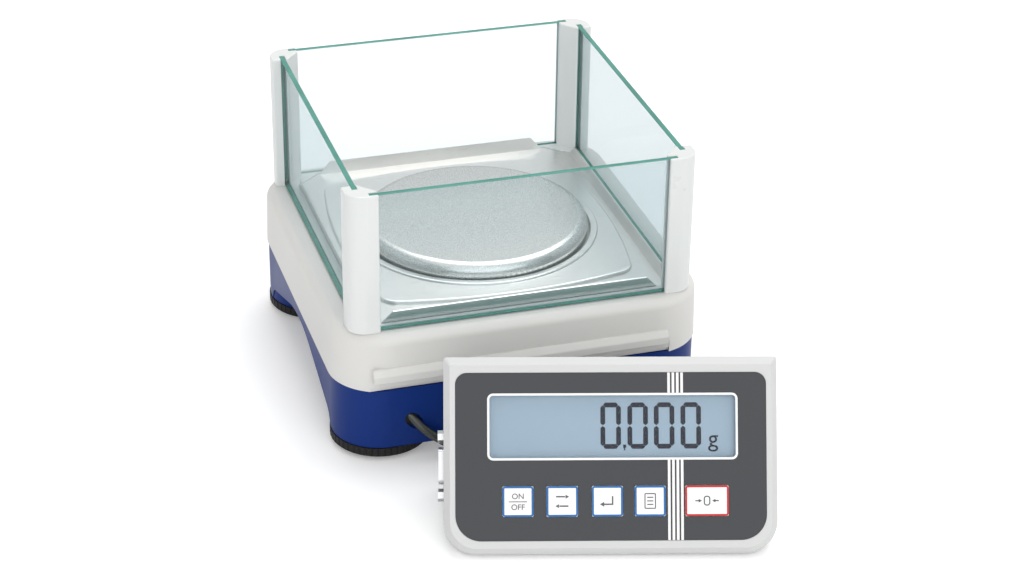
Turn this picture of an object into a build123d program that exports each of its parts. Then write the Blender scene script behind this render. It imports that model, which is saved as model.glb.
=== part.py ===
"""A precision balance: a weighing unit with a glass draught shield, and its display unit on a cable.

The weighing unit is modelled round its own centre and the display unit round the middle of its lower front
edge, both standing on z = 0. They are then set down at UNIT_PLACE and DISPLAY_PLACE. Front is -Y.
"""

import os
from math import cos, pi, radians, sin, tan

from build123d import *

# Where the two units stand
UNIT_PLACE = Location((-1.685, 49.257, 0))
DISPLAY_PLACE = Location((5.665, -137.843, 0), (0, 0, -15.2))

# Base and cover of the weighing unit
BASE_X, BASE_Y = 85.9, 88.3          # half sizes of the base outline
COLUMN_R = 22.3                      # foot columns, which are also the outline's corners
COLUMN_X, COLUMN_Y = BASE_X - COLUMN_R, BASE_Y - COLUMN_R
COLUMN_FOOT, DECK_Z = 7.1, 36.6      # lower end of the columns, top of the deck
BASE_WALL = 2.6
COVER_X, COVER_Y, COVER_CORNER = 86.8, 89.8, 25.0
COVER_FOOT, COVER_TOP = 36.9, 64.0
COVER_WALL, COVER_TAPER, SHOULDER = 2.6, 1.4, 4.6
CUT_TOP = 38.9                       # raised lower edge at the front, between the two teeth
RAIL_LEFT, RAIL_RIGHT = -73.5, 66.0  # docking rail across the front
RAIL_Z, RAIL_TOP, RAIL_REACH = 42.6, 49.0, 2.4
BOSS_X, BOSS_Y = 30.0, 78.0          # screw bosses between base and cover
LEVEL_R, LEVEL_REACH, LEVEL_LOW, LEVEL_TOP = 6.1, 9.6, 32.0, 38.5

# Levelling feet: M8 studs, one turn of the wheel is 1.25 mm
WHEEL_R, WHEEL_LOW, WHEEL_HIGH, WHEEL_TEETH = 22.8, 2.4, 6.8, 48
STUD_R, STUD_LOW, STUD_TOP = 4.0, 1.3, 25.0
INSERT_R, INSERT_BORE, INSERT_LOW, INSERT_TOP = 6.0, 4.08, 10.1, 24.0
PAD_R, PAD_TOP = 9.0, 2.1

# Draught shield
SHIELD_X, SHIELD_Y, SHIELD_TOP = 80.5, 83.3, 131.4
POST_X, POST_Y, POST_R = 14.1, 12.9, 8.5
SHIELD_FOOT = COVER_TOP + 0.05
PANE, PANE_GAP = 2.4, 0.1
SIDE_PANE_X, SIDE_PANE_HALF = 75.0, 74.6
FRONT_PANE_Y, FRONT_PANE_HALF = 80.8, 70.3
FRAME_THICK = 1.1

# Tray and pan
SHEET = 0.8
TRAY_X, TRAY_Y, TRAY_FOOT = 69.6, 77.0, COVER_TOP + 0.1
FLAP_TOP, FLAP_LEAN, FLAP_MITRE = 70.8, 9.6, 6.0
PLATFORM_X, PLATFORM_Y, PLATFORM_RISE = 65.5, 67.8, 1.5
PLATFORM_CORNER_X, PLATFORM_CORNER_Y, PLATFORM_R = 59.0, 60.5, 9.0
BEAD_IN, BEAD_OUT, BEAD_RISE = 55.2, 58.8, 0.9
PAN_R, PAN_TOP, PAN_SKIRT, PAN_ROUND, PAN_SHEET = 54.0, 73.6, 65.4, 4.6, 1.0

# Load cell and what it carries
CELL_X0, CELL_X1, CELL_Y, CELL_Z0, CELL_Z1 = -76.0, 14.0, 11.0, 42.0, 58.0
CARRIER_Z0, CARRIER_Z1, CARRIER_REACH = 67.2, 69.6, 34.0
BUFFER_AT, BUFFER_TOP = 26.0, PAN_TOP - PAN_SHEET - 0.1

# Display unit: its outline lies in the face plane, which leans back
TILT = 31.0
FACE_W, FACE_H, FACE_FOOT = 142.3, 83.8, 1.5
FACE_CORNER, FACE_BEVEL, FACE_RISE = 14.0, 2.6, 3.0
DISPLAY_DEPTH, DISPLAY_WALL, PARTING = 54.0, 2.2, 6.0
OVERLAY_X, OVERLAY_LOW, OVERLAY_TOP, OVERLAY = 66.3, 5.7, 77.2, 0.6
WINDOW_X, WINDOW_LOW, WINDOW_TOP, WINDOW_MID = 52.4, 40.9, 67.4, 0.7
KEY_LOW, KEY_TOP, KEY_GAP, KEY_TRAVEL = 16.0, 29.0, 0.25, 0.5
KEYS = {"key_1": (-46.3, -33.1), "key_2": (-27.6, -14.2), "key_3": (-8.3, 4.9),
        "key_4": (9.9, 23.1), "key_5": (31.4, 50.0)}
BOARD_W, BOARD_THICK = -7.4, 1.6     # front face of the board, behind the outline plane
BATTERY = (48.5, 16.8, 26.5)
BATTERY_AT = (-30.0, 42.6, 18.3)
DOOR_W, DOOR_LOW, DOOR_HIGH, DOOR_THICK = 52.0, 4.2, 33.0, 1.9
SERIAL_V, SERIAL_W, SERIAL_PITCH, POLE_PITCH, JACK_R = 37.3, -11.5, 24.99, 2.74, 1.13

# Cable between the units
CORD_R = 2.0
EXIT_POINT = Vector(-54.4, -86.3, 20.8)
EXIT_WAY = Vector(0.50, -0.68, -0.54).normalized()
COIL_AT, COIL_R, COIL_WIDE, COIL_HIGH, COIL_LOW = (46.0, -113.2), 20.0, 8.2, 16.0, 0.2
PLUG_X, PLUG_Z, PLUG_LONG = 60.0, 12.0, 17.0

SIGNS = {"fl": (-1, -1), "fr": (1, -1), "bl": (-1, 1), "br": (1, 1)}


def slab(outline, low, high):
    """A flat outline raised between two heights."""
    return extrude(Pos(0, 0, low) * outline, high - low)


def rod(x, y, radius, low, high):
    """An upright cylinder between two heights."""
    return Pos(x, y, (low + high) / 2) * Cylinder(radius, high - low)


def block(x0, x1, y0, y1, z0, z1):
    """A box between two corners."""
    return Pos((x0 + x1) / 2, (y0 + y1) / 2, (z0 + z1) / 2) * Box(x1 - x0, y1 - y0, z1 - z0)


def filleted_face(points, radii, plane=Plane.XY):
    """A closed outline in a plane, each corner rounded by its own radius."""
    corners = [plane.from_local_coords((x, y, 0)) for x, y in points]
    return make_face(FilletPolyline(*corners, radius=radii, close=True))


def filleted_bar(points, radii, plane, length):
    """A bar along the plane's normal whose section has rounded corners."""
    return extrude(filleted_face(points, radii, plane), length, dir=plane.z_dir)


# Weighing unit: base


def front_arch():
    """The opening between the front columns, with round upper corners, right through the base."""
    half, crown, low = BASE_X - 2 * COLUMN_R - 2.3, 33.0, -5.0
    plane = Plane.XZ.offset(-2 * BASE_Y)
    points = [(-half, low), (half, low), (half, crown), (-half, crown)]
    return filleted_bar(points, [0, 0, 8.0, 8.0], plane, 4 * BASE_Y)


def side_arch():
    """The low pointed opening between front and back columns, blunt at its crown."""
    half, spring, crown, low = 62.5, 12.5, 32.8, -5.0
    plane = Plane.YZ.offset(-2 * BASE_X)
    points = [(-half, low), (half, low), (half, spring), (0, crown), (-half, spring)]
    return filleted_bar(points, [0, 0, 9.0, 70.0, 9.0], plane, 4 * BASE_X)


def cable_hole(radius):
    """The slanting hole for the cable, in the front left column."""
    plane = Plane(origin=EXIT_POINT - EXIT_WAY * 13.0, z_dir=EXIT_WAY)
    return extrude(plane * Circle(radius), 19.0)


def base_housing():
    outline = RectangleRounded(2 * BASE_X, 2 * BASE_Y, COLUMN_R)
    inside = RectangleRounded(2 * (BASE_X - BASE_WALL), 2 * (BASE_Y - BASE_WALL), COLUMN_R - BASE_WALL)
    base = slab(outline - inside, COLUMN_FOOT, DECK_Z) - front_arch() - side_arch()
    base += slab(outline, DECK_Z - 2.8, DECK_Z)
    for sx, sy in SIGNS.values():
        at = (sx * COLUMN_X, sy * COLUMN_Y)
        base += rod(*at, COLUMN_R, COLUMN_FOOT, DECK_Z)
        base -= rod(*at, COLUMN_R - BASE_WALL, INSERT_LOW, DECK_Z + 1)
        base += rod(*at, INSERT_R + 2.2, COLUMN_FOOT, INSERT_TOP + 0.6)
        base -= rod(*at, INSERT_R, INSERT_LOW, INSERT_TOP + 1)
        base -= rod(*at, STUD_R + 0.6, COLUMN_FOOT - 1, INSERT_LOW)
    lip = COVER_WALL + 1.5
    lip_out = RectangleRounded(2 * (COVER_X - lip), 2 * (COVER_Y - lip), COVER_CORNER - lip)
    lip_in = RectangleRounded(2 * (COVER_X - lip - 1.6), 2 * (COVER_Y - lip - 1.6), COVER_CORNER - lip - 1.6)
    base += slab(lip_out - lip_in, DECK_Z, DECK_Z + 4.0)
    base += block(CELL_X0 - 2, CELL_X0 + 24, -CELL_Y - 3, CELL_Y + 3, DECK_Z, DECK_Z + 2.0)
    for x in (45.0, 77.0):
        for y in (-36.0, 36.0):
            base += rod(x, y, 2.6, DECK_Z, 44.0)
    for sx, sy in SIGNS.values():
        base -= rod(sx * BOSS_X, sy * BOSS_Y, 1.8, DECK_Z - 4, DECK_Z + 1)
    return base - cable_hole(3.4)


def cable_grommet():
    """A rubber grommet that fills the slanting hole round the cable, flush with the column."""
    column = rod(-COLUMN_X, -COLUMN_Y, COLUMN_R + 0.5, COLUMN_FOOT, DECK_Z)
    column -= rod(-COLUMN_X, -COLUMN_Y, COLUMN_R - BASE_WALL - 0.8, COLUMN_FOOT, DECK_Z)
    return (cable_hole(3.4) & column) - cable_hole(CORD_R)


def foot_inserts():
    """Four threaded brass nuts moulded into the columns."""
    nut = Cylinder(INSERT_R, INSERT_TOP - INSERT_LOW) - Cylinder(INSERT_BORE, INSERT_TOP)
    middle = (INSERT_LOW + INSERT_TOP) / 2
    return [Pos(sx * COLUMN_X, sy * COLUMN_Y, middle) * nut for sx, sy in SIGNS.values()]


def level_cup():
    """A bracket on the back wall of the base with a round cup for the spirit level."""
    reach = BASE_Y + LEVEL_REACH
    cup = rod(0, reach, LEVEL_R + 1.4, LEVEL_LOW - 2.0, LEVEL_TOP + 0.6)
    web = block(-LEVEL_R - 1.4, LEVEL_R + 1.4, BASE_Y, reach, LEVEL_LOW - 2.0, DECK_Z - 0.3)
    return cup + web - rod(0, reach, LEVEL_R + 0.1, LEVEL_LOW, LEVEL_TOP + 1)


def level_vial():
    """The round vial, with a shallow dome."""
    vial = rod(0, BASE_Y + LEVEL_REACH, LEVEL_R, LEVEL_LOW, LEVEL_TOP)
    return chamfer(vial.edges().sort_by(Axis.Z)[-1], 0.6)


# Weighing unit: levelling feet


def knurled_wheel():
    """A dished wheel whose rim has round-bottomed flutes between flat teeth."""
    flute = WHEEL_R * pi / WHEEL_TEETH / 2
    wheel = slab(Circle(WHEEL_R), WHEEL_LOW, WHEEL_HIGH)
    wheel = chamfer(wheel.edges().sort_by(Axis.Z)[0], 0.6)
    flutes = PolarLocations(WHEEL_R + 0.35 * flute, WHEEL_TEETH) * RegularPolygon(flute, 6)
    wheel -= slab(Sketch() + flutes, WHEEL_LOW - 1, WHEEL_HIGH + 1)
    wheel -= slab(Circle(18.5) - Circle(7.5), WHEEL_HIGH - 1.8, WHEEL_HIGH + 1)
    return wheel - Cylinder(STUD_R, 40)


def foot_stud():
    """A stud with a chamfered top and a shoulder nut below the wheel's web."""
    stud = rod(0, 0, STUD_R, STUD_LOW, STUD_TOP)
    return chamfer(stud.edges().sort_by(Axis.Z)[-1], 0.8)


def foot_pad():
    """A rubber disc with a seat for the stud's end."""
    pad = chamfer(rod(0, 0, PAD_R, 0, PAD_TOP).edges().sort_by(Axis.Z)[-1], 0.6)
    return pad - rod(0, 0, STUD_R + 0.3, STUD_LOW - 0.3, PAD_TOP + 1)


# Weighing unit: cover


def front_span(y0, y1, z0, z1):
    """A box across the front of the cover, as long as the docking rail."""
    return block(RAIL_LEFT, RAIL_RIGHT + 1.5, y0, y1, z0, z1)


def top_cover():
    outline = RectangleRounded(2 * COVER_X, 2 * COVER_Y, COVER_CORNER)
    inner = RectangleRounded(2 * (COVER_X - COVER_WALL), 2 * (COVER_Y - COVER_WALL), COVER_CORNER - COVER_WALL)
    shell = extrude(Pos(0, 0, COVER_FOOT) * outline, COVER_TOP - COVER_FOOT, taper=COVER_TAPER)
    shell = fillet(shell.faces().sort_by(Axis.Z)[-1].edges(), SHOULDER)
    shell -= extrude(Pos(0, 0, COVER_FOOT) * inner, COVER_TOP - 3.0 - COVER_FOOT, taper=COVER_TAPER)
    shell -= front_span(-COVER_Y - 1, -COVER_Y + COVER_WALL, COVER_FOOT - 1, CUT_TOP)
    shell -= front_span(-COVER_Y - 1, -COVER_Y + 1.1, CUT_TOP - 1, RAIL_Z)
    plane = Plane.YZ.offset(RAIL_LEFT + 1.5)
    root, nose = -COVER_Y + 1.2, -COVER_Y - RAIL_REACH
    rail = [(root, RAIL_Z), (nose, RAIL_Z), (nose, RAIL_Z + 3.6), (nose + 2.0, RAIL_TOP), (root, RAIL_TOP)]
    shell += filleted_bar(rail, [0, 0.5, 1.4, 1.0, 0], plane, RAIL_RIGHT - RAIL_LEFT - 1.5)
    for sx, sy in SIGNS.values():
        shell += rod(sx * BOSS_X, sy * BOSS_Y, 3.6, DECK_Z + 0.1, COVER_TOP - 2.0)
        shell -= rod(sx * BOSS_X, sy * BOSS_Y, 1.5, DECK_Z, DECK_Z + 20)
    return shell - rod(0, 0, 12.0, COVER_TOP - 8, COVER_TOP + 1)


def housing_screws():
    """Four pan-head screws, up through the deck into the cover's bosses."""
    screws = []
    for sx, sy in SIGNS.values():
        head = rod(sx * BOSS_X, sy * BOSS_Y, 3.0, DECK_Z - 4.8, DECK_Z - 2.8)
        screws.append(head + rod(sx * BOSS_X, sy * BOSS_Y, 1.5, DECK_Z - 2.8, DECK_Z + 18))
    return screws


# Weighing unit: load cell and pan carrier


def load_cell():
    """A binocular beam: two round pockets joined by a slot leave thin flexures above and below."""
    beam = block(CELL_X0, CELL_X1, -CELL_Y, CELL_Y, CELL_Z0, CELL_Z1)
    middle, left, right, pocket = (CELL_Z0 + CELL_Z1) / 2, -45.0, -17.0, 6.2
    for x in (left, right):
        beam -= Pos(x, 0, middle) * Rot(90, 0, 0) * Cylinder(pocket, 3 * CELL_Y)
    beam -= block(left, right, -2 * CELL_Y, 2 * CELL_Y, middle - 2.5, middle + 2.5)
    for x in (-71.0, -59.0):
        beam -= rod(x, 0, 2.6, CELL_Z0 - 1, CELL_Z1 + 1)
    return beam


def load_cell_spacer():
    plate = block(CELL_X0, CELL_X0 + 22, -CELL_Y, CELL_Y, DECK_Z + 2.0, CELL_Z0)
    for x in (-71.0, -59.0):
        plate -= rod(x, 0, 2.6, DECK_Z, CELL_Z0 + 1)
    return plate


def overload_stop():
    """A stop screw under the beam's free end, with the gap that the beam may bend through."""
    return rod(8.0, 0, 4.5, DECK_Z, DECK_Z + 2.5) + rod(8.0, 0, 3.0, DECK_Z + 2.5, CELL_Z0 - 0.4)


def pan_carrier():
    """A hub on the beam's free end with four arms under the pan."""
    hub = rod(0, 0, 7.0, CELL_Z1, CARRIER_Z1)
    arm = block(-CARRIER_REACH, CARRIER_REACH, -5.0, 5.0, CARRIER_Z0, CARRIER_Z1)
    return arm + Rot(0, 0, 90) * arm + hub


def carrier_buffers():
    """Four rubber buttons on the arms."""
    spots = PolarLocations(BUFFER_AT, 4)
    button = chamfer(rod(0, 0, 3.6, CARRIER_Z1, BUFFER_TOP).edges().sort_by(Axis.Z)[-1], 0.5)
    return [spot * button for spot in spots]


def main_board():
    board = block(40.0, 82.0, -42.0, 42.0, 44.0, 45.6)
    board += block(50.0, 62.0, -14.0, 2.0, 45.6, 47.4)
    return board + block(66.0, 78.0, 12.0, 34.0, 45.6, 52.0)


# Draught shield


def post_outline(sx, sy):
    """One corner post seen from above: a round outer corner and a slanting inner side."""
    points = [(SHIELD_X - POST_X, SHIELD_Y), (SHIELD_X, SHIELD_Y), (SHIELD_X, SHIELD_Y - POST_Y),
              (SHIELD_X - 7.5, SHIELD_Y - POST_Y), (SHIELD_X - POST_X, SHIELD_Y - 5.7)]
    radii = [0.8, POST_R, 0.8, 0.8, 0.8]
    return filleted_face([(sx * x, sy * y) for x, y in points], radii)


def shield_post(sx, sy):
    """A post with two slots, open at the top, that the panes drop into."""
    post = slab(post_outline(sx, sy), SHIELD_FOOT, SHIELD_TOP)
    post = fillet(post.faces().sort_by(Axis.Z)[-1].outer_wire().edges(), 0.6)
    half = PANE / 2 + PANE_GAP
    floor = SHIELD_FOOT + 0.5
    side_end, front_end = SIDE_PANE_HALF + PANE_GAP, FRONT_PANE_HALF + PANE_GAP
    side = block(SIDE_PANE_X - half, SIDE_PANE_X + half, 0, side_end, floor, SHIELD_TOP + 1)
    front = block(0, front_end, FRONT_PANE_Y - half, FRONT_PANE_Y + half, floor, SHIELD_TOP + 1)
    slots = side + front
    if sx < 0:
        slots = mirror(slots, Plane.YZ)
    if sy < 0:
        slots = mirror(slots, Plane.XZ)
    return post - slots


def shield_pane(place):
    """A pane with ground edges, resting on the slot floors."""
    low, high = SHIELD_FOOT + 0.5, SHIELD_TOP - 0.1
    if place in ("left", "right"):
        x = SIDE_PANE_X * (-1 if place == "left" else 1)
        pane = block(x - PANE / 2, x + PANE / 2, -SIDE_PANE_HALF, SIDE_PANE_HALF, low, high)
    else:
        y = FRONT_PANE_Y * (-1 if place == "front" else 1)
        pane = block(-FRONT_PANE_HALF, FRONT_PANE_HALF, y - PANE / 2, y + PANE / 2, low, high)
    return chamfer(pane.faces().sort_by(Axis.Z)[-1].edges(), 0.3)


def tray_outline(grow):
    """The tray's floor from above: its rear corners are cut further than its front ones."""
    x, y = TRAY_X + grow, TRAY_Y + grow
    rear_x, rear_y, front_x, front_y = 58.0, 67.3, 65.4, 73.4
    half = [(0, -y), (front_x, -y), (x, -front_y), (x, rear_y), (rear_x, y), (0, y)]
    other = [(-px, py) for px, py in reversed(half[1:-1])]
    return make_face(Polyline(*half, *other, close=True))


def shield_frame():
    """A flat frame between the post feet; the tray drops inside it."""
    x, y = SIDE_PANE_X - PANE / 2 - 0.3, FRONT_PANE_Y - PANE / 2 - 0.3
    frame = slab(Rectangle(2 * x, 2 * y) - tray_outline(0.5), SHIELD_FOOT, SHIELD_FOOT + FRAME_THICK)
    for sx, sy in SIGNS.values():
        frame -= slab(post_outline(sx, sy), SHIELD_FOOT - 1, SHIELD_TOP)
    return frame


# Tray and pan


def flap(turn, distance, start, end):
    """A folded edge of the tray: a leaning trapezoid whose ends are mitred."""
    high = FLAP_TOP - TRAY_FOOT
    points = [(start, 0), (end, 0), (end - FLAP_MITRE, high), (start + FLAP_MITRE, high)]
    sheet = extrude(make_face(Plane.YZ * Polyline(*points, close=True)), SHEET)
    return Rot(0, 0, turn) * Pos(distance - SHEET, 0, TRAY_FOOT + 0.2 * SHEET) * Rot(0, FLAP_LEAN, 0) * sheet


def platform_outline(inset):
    """The raised platform: four bulging sides that meet in tight round corners."""
    cx, cy = PLATFORM_CORNER_X - inset, PLATFORM_CORNER_Y - inset
    bx, by = PLATFORM_X - inset, PLATFORM_Y - inset
    sides = [ThreePointArc((-cx, -cy), (0, -by), (cx, -cy)), ThreePointArc((cx, -cy), (bx, 0), (cx, cy)),
             ThreePointArc((cx, cy), (0, by), (-cx, cy)), ThreePointArc((-cx, cy), (-bx, 0), (-cx, -cy))]
    outline = make_face(sides)
    return fillet(outline.vertices(), PLATFORM_R - inset)


def shield_tray():
    """One pressed sheet: floor, four flaps, bulged platform, and a bead round the pan's opening."""
    floor_top = TRAY_FOOT + SHEET
    top = floor_top + PLATFORM_RISE
    tray = slab(tray_outline(0), TRAY_FOOT, floor_top)
    step = slab(platform_outline(0), TRAY_FOOT, top)
    tray += fillet(step.faces().sort_by(Axis.Z)[-1].edges(), 0.9)
    tray -= slab(platform_outline(1.6), TRAY_FOOT - 1, top - SHEET)
    bead = slab(Circle(BEAD_OUT) - Circle(BEAD_IN), top - SHEET, top + BEAD_RISE)
    tray += fillet(bead.edges().group_by(Axis.Z)[-1], 0.7)
    tray -= Cylinder(BEAD_IN, 200)
    tray += flap(0, TRAY_X, -73.4, 67.3) + flap(180, TRAY_X, -67.3, 73.4)
    tray += flap(90, TRAY_Y, -58.0, 58.0) + flap(-90, TRAY_Y, -65.4, 65.4)
    return tray


def weighing_pan():
    """A flat pan with a broad rounded shoulder, a skirt, and a seat ring under it."""
    pan = rod(0, 0, PAN_R, PAN_SKIRT, PAN_TOP)
    pan = fillet(pan.edges().sort_by(Axis.Z)[-1], PAN_ROUND)
    hollow = rod(0, 0, PAN_R - PAN_SHEET, PAN_SKIRT - 1, PAN_TOP - PAN_SHEET)
    pan -= chamfer(hollow.edges().sort_by(Axis.Z)[-1], PAN_ROUND - PAN_SHEET)
    return pan + slab(Circle(38.0) - Circle(37.0), PAN_TOP - 3.4, PAN_TOP - PAN_SHEET)


# Display unit: frame of its face


def face_plane(w=0.0):
    """The plane of the face, w millimetres in front of the outline; its Y runs up the face."""
    tilt = radians(TILT)
    normal = Vector(0, -cos(tilt), sin(tilt))
    return Plane(origin=Vector(0, 0, FACE_FOOT) + normal * w, x_dir=(1, 0, 0), z_dir=normal)


def face_slab(outline, w0, w1):
    """An outline drawn in the face plane, raised from w0 to w1."""
    return extrude(face_plane(w0) * outline, w1 - w0)


def face_rect(u0, u1, v0, v1, radius):
    outline = RectangleRounded(u1 - u0, v1 - v0, radius) if radius else Rectangle(u1 - u0, v1 - v0)
    return Pos((u0 + u1) / 2, (v0 + v1) / 2) * outline


def soft_rect(u0, u1, v0, v1, low_radius, high_radius):
    """A rectangle with one radius for its two lower corners and another for the upper ones."""
    points = [(u0, v0), (u1, v0), (u1, v1), (u0, v1)]
    return filleted_face(points, [low_radius, low_radius, high_radius, high_radius])


def display_body(inset, w0, w1):
    """The wedge-shaped body between two depths, made smaller all round by an inset."""
    half = FACE_W / 2 - inset
    outline = soft_rect(-half, half, inset - 40, FACE_H - inset, 0.5, 1.2)
    body = face_slab(outline, w0, w1)
    low = FACE_FOOT + inset
    body &= block(-half, half, -60, DISPLAY_DEPTH - inset, low, 200)
    corner = FACE_CORNER - inset
    sides = face_slab(soft_rect(-half, half, inset, 300, corner, 0), -90, 20)
    return body & sides


def display_front():
    """Front shell: bevelled edges all round, a shallow recess for the panel, window and key openings."""
    body = display_body(0, -PARTING, 0)
    half = FACE_W / 2
    low = soft_rect(-half, half, 0, FACE_H, FACE_CORNER, 1.2)
    high = soft_rect(-half + FACE_BEVEL, half - FACE_BEVEL, FACE_BEVEL, FACE_H - FACE_BEVEL - 0.8,
                     FACE_CORNER - FACE_BEVEL, 1.0)
    body += loft([face_plane(0) * low, face_plane(FACE_RISE) * high])
    hollow = display_body(DISPLAY_WALL, -PARTING - 1, 0.6)
    body -= hollow
    body -= face_slab(soft_rect(-OVERLAY_X, OVERLAY_X, OVERLAY_LOW, OVERLAY_TOP, 11.0, 5.0), FACE_RISE - 0.5, 9)
    body -= face_slab(window_rect(0.6), -2, 9)
    for u0, u1 in KEYS.values():
        body -= face_slab(face_rect(u0 - 0.2, u1 + 0.2, KEY_LOW - 0.2, KEY_TOP + 0.2, 0.8), -2, 9)
    for u in (-60.0, 60.0):
        body += face_slab(Pos(u, 70.0) * Circle(3.0), -PARTING, 0.8)
    return body


def window_rect(grow):
    return face_rect(WINDOW_MID - WINDOW_X - grow, WINDOW_MID + WINDOW_X + grow,
                     WINDOW_LOW - grow, WINDOW_TOP + grow, 1.6 + grow)


def display_overlay():
    """The dark panel in the front shell's recess, with openings for window and keys."""
    panel = soft_rect(-OVERLAY_X + 0.1, OVERLAY_X - 0.1, OVERLAY_LOW + 0.1, OVERLAY_TOP - 0.1, 10.9, 4.9)
    body = face_slab(panel, FACE_RISE - 0.5, FACE_RISE - 0.5 + OVERLAY)
    body -= face_slab(window_rect(0), FACE_RISE - 2, FACE_RISE + 2)
    for u0, u1 in KEYS.values():
        body -= face_slab(face_rect(u0 - KEY_GAP, u1 + KEY_GAP, KEY_LOW - KEY_GAP, KEY_TOP + KEY_GAP, 0.9), 0, 9)
    return body


def display_window():
    """A clear pane that fills the panel's opening."""
    return face_slab(window_rect(0), FACE_RISE - 0.5, FACE_RISE - 0.5 + OVERLAY)


def lcd_panel():
    """The display glass, carried on the board just behind the front wall."""
    panel = face_rect(WINDOW_MID - WINDOW_X - 2, WINDOW_MID + WINDOW_X + 2, WINDOW_LOW - 2, WINDOW_TOP + 2, 0)
    return face_slab(panel, -2.2, 0.5)


def display_board():
    """The board behind the front shell, cut out at the upper screw bosses."""
    board = face_slab(face_rect(-58.0, 58.0, 13.0, 76.0, 0), BOARD_W - BOARD_THICK, BOARD_W)
    for u in (-60.0, 60.0):
        board -= face_slab(Pos(u, 70.0) * Circle(4.2), BOARD_W - 3, BOARD_W + 1)
    frame = face_rect(WINDOW_MID - WINDOW_X, WINDOW_MID + WINDOW_X, WINDOW_LOW, WINDOW_TOP, 0)
    return board + face_slab(frame, BOARD_W, -2.2)


def key_switches():
    """A short-travel switch on the board behind each key."""
    switches = []
    for u0, u1 in KEYS.values():
        middle = (u0 + u1) / 2
        body = face_slab(Pos(middle, 22.5) * Rectangle(6, 6), BOARD_W, BOARD_W + 3.4)
        switches.append(body + face_slab(Pos(middle, 22.5) * Circle(1.7), BOARD_W + 3.4, BOARD_W + 4.4))
    return switches


def key_cap(u0, u1):
    """A flat key with a stem that ends just over its switch."""
    cap = face_slab(face_rect(u0, u1, KEY_LOW, KEY_TOP, 0.8), 0.9, FACE_RISE + 0.3)
    flange = face_slab(face_rect(u0 - 0.9, u1 + 0.9, KEY_LOW - 0.9, KEY_TOP + 0.9, 0.8), -0.5, 0.3)
    neck = face_slab(face_rect(u0 + 0.6, u1 - 0.6, KEY_LOW + 0.6, KEY_TOP - 0.6, 0.6), 0.3, 0.9)
    stem = face_slab(Pos((u0 + u1) / 2, 22.5) * Circle(2.0), BOARD_W + 5.0, -0.5)
    return cap + neck + flange + stem


def display_rear():
    """Rear shell: a hollow wedge with a door opening, two sockets and screw tubes."""
    outer = display_body(0, -90, -PARTING - 0.05)
    body = outer - display_body(DISPLAY_WALL, -90, 0)
    x, _, _ = BATTERY_AT
    body -= block(x - DOOR_W / 2 - 0.3, x + DOOR_W / 2 + 0.3, DISPLAY_DEPTH - 4, DISPLAY_DEPTH + 1,
                  DOOR_LOW - 0.3, DOOR_HIGH + 0.3)
    tray = block(x - 27.9, x + 27.9, BATTERY_AT[1] - 10, DISPLAY_DEPTH - DISPLAY_WALL, FACE_FOOT, BATTERY_AT[2] + 17)
    tray -= block(x - 26.1, x + 26.1, BATTERY_AT[1] - 8.6, DISPLAY_DEPTH + 1, FACE_FOOT + 3.4, BATTERY_AT[2] + 13.5)
    body += tray & display_body(0, -90, BOARD_W - BOARD_THICK - 0.4)
    body -= serial_cutter()
    body -= block(PLUG_X - 5.2, PLUG_X + 5.2, DISPLAY_DEPTH - 4, DISPLAY_DEPTH + 1, PLUG_Z - 4.7, PLUG_Z + 4.7)
    for sx in (-60.0, 60.0):
        body -= Pos(sx, DISPLAY_DEPTH, 58.0) * Rot(90, 0, 0) * Cylinder(1.8, 8)
    return body


def battery_cover():
    """The door over the battery, with two snap lugs and a finger groove."""
    x, _, _ = BATTERY_AT
    outer, inner = DISPLAY_DEPTH, DISPLAY_DEPTH - DOOR_THICK
    door = block(x - DOOR_W / 2, x + DOOR_W / 2, inner, outer, DOOR_LOW, DOOR_HIGH)
    door -= Pos(x, outer + 6.6, DOOR_HIGH - 6.0) * Rot(0, 90, 0) * Cylinder(7.6, 16)
    return door


def battery():
    x, y, z = BATTERY_AT
    long, thick, high = BATTERY
    cell = Pos(x, y, z) * Box(long - 2.6, thick, high)
    cell = fillet(cell.edges().filter_by(Axis.X), 1.5)
    for dz in (-6.4, 6.4):
        cell += Pos(x - long / 2 + 1.3, y, z + dz) * Rot(0, 90, 0) * Cylinder(3.0, 2.6)
    return cell


def battery_clip():
    """The snap connector at the battery's terminals, clear of their studs."""
    x, y, z = BATTERY_AT
    end = x - BATTERY[0] / 2
    return block(end - 1.0, end - 0.1, y - 6.5, y + 6.5, z - 12.0, z + 12.0)


def serial_place():
    """A location at the left wall with X into the housing and Y up the face."""
    plane = face_plane(SERIAL_W)
    corner = plane.from_local_coords((-FACE_W / 2, SERIAL_V, 0))
    return Plane(origin=corner, x_dir=plane.y_dir, z_dir=(-1, 0, 0)).location


def serial_cutter():
    """The opening in the left wall for the connector and its two standoffs."""
    opening = RectangleRounded(19.4, 10.8, 2.0)
    for side in (-1, 1):
        opening += Pos(side * SERIAL_PITCH / 2, 0) * Circle(3.0)
    return serial_place() * extrude(opening, -4) + serial_place() * extrude(opening, 1)


def serial_socket():
    """A nine-pole socket: metal flange behind the wall, a D-shaped shell with nine holes, and its rear block."""
    wall = DISPLAY_WALL + 0.1
    flange = Pos(0, 0, -wall - 1.0) * extrude(RectangleRounded(30.8, 12.5, 1.5), 1.0)
    shell = filleted_face([(-8.3, 4.0), (8.3, 4.0), (7.2, -4.0), (-7.2, -4.0)], [1.8] * 4)
    body = extrude(Pos(0, 0, -wall - 1.0) * shell, wall + 1.0 + 2.2)
    rear = Pos(0, 0, -wall - 8.0) * extrude(Rectangle(19.0, 10.0), 7.0)
    for row, count in ((1.42, 5), (-1.42, 4)):
        for n in range(count):
            body -= Pos((n - (count - 1) / 2) * POLE_PITCH, row, 0.2) * extrude(Circle(0.55), 3)
    return serial_place() * (flange + body + rear)


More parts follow.
